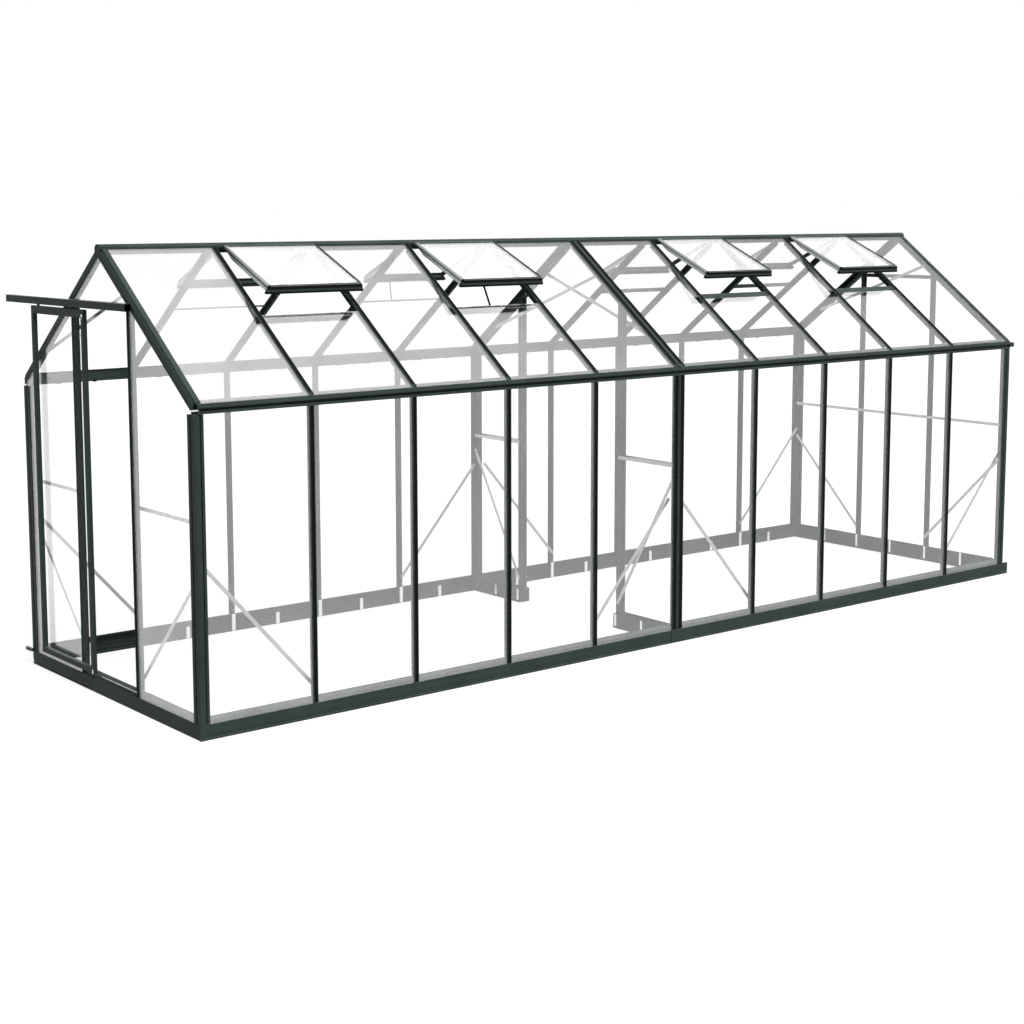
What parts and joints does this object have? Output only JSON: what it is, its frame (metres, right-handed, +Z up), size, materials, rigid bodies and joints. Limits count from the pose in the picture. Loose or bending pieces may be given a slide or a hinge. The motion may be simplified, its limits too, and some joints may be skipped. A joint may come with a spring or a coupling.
{
  "type": "polycarbonate greenhouse",
  "caption": "Long gabled greenhouse of green aluminium bars and clear sheets in two joined sections, with a sliding door and roof vents propped open.",
  "frame": {"origin": "on the ground, in the middle of the whole part's box", "axes": "+X along the ridge away from the door gable, +Y across towards the side that the door slides to, +Z up"},
  "size_m": [6.376, 2.026, 2.3433],
  "materials": {
    "powder_coat": "satin dark green powder coat",
    "plain_metal": "plain mill-finish aluminium",
    "clear_sheet": "clear solid polycarbonate sheet",
    "black_nylon": "black nylon"
  },
  "bodies": {
    "root": {"base_front_near": "powder_coat", "base_front_far": "powder_coat", "base_back_near": "powder_coat", "base_back_far": "powder_coat", "base_gable_near": "powder_coat", "base_gable_far": "powder_coat", "base_partition": "powder_coat", "base_joint_plates": "powder_coat", "base_cleats": "plain_metal", "corner_posts": "powder_coat", "wall_bars_front": "powder_coat", "wall_bars_back": "powder_coat", "joint_posts": "powder_coat", "door_posts": "powder_coat", "far_gable_posts": "powder_coat", "partition_posts": "powder_coat", "eave_front": "powder_coat", "eave_back": "powder_coat", "ridge_beam": "powder_coat", "roof_bars_front": "powder_coat", "roof_bars_back": "powder_coat", "gable_rafters": "powder_coat", "joint_rafters": "powder_coat", "gable_rails": "plain_metal", "partition_rails": "plain_metal", "wall_braces": "plain_metal", "gable_braces": "plain_metal", "partition_braces": "plain_metal", "truss_braces": "plain_metal", "gable_headers": "powder_coat", "wall_glazing_front": "clear_sheet", "wall_glazing_back": "clear_sheet", "roof_glazing_front": "clear_sheet", "roof_glazing_back": "clear_sheet", "gable_glazing_near": "clear_sheet", "gable_glazing_far": "clear_sheet", "vent_frames_front": "powder_coat", "vent_frames_back": "powder_coat", "vent_glazing": "clear_sheet", "vent_sills": "powder_coat", "vent_stays": "black_nylon", "door_track": "powder_coat"},
    "door": {"door_frame": "powder_coat", "door_glazing": "clear_sheet", "door_rollers": "black_nylon"}
  },
  "joints": [
    {"name": "door_slide", "type": "slide", "parent": "root", "child": "door", "axis": [0, 1, 0], "range_m": [-0.44, 0.215]}
  ]
}
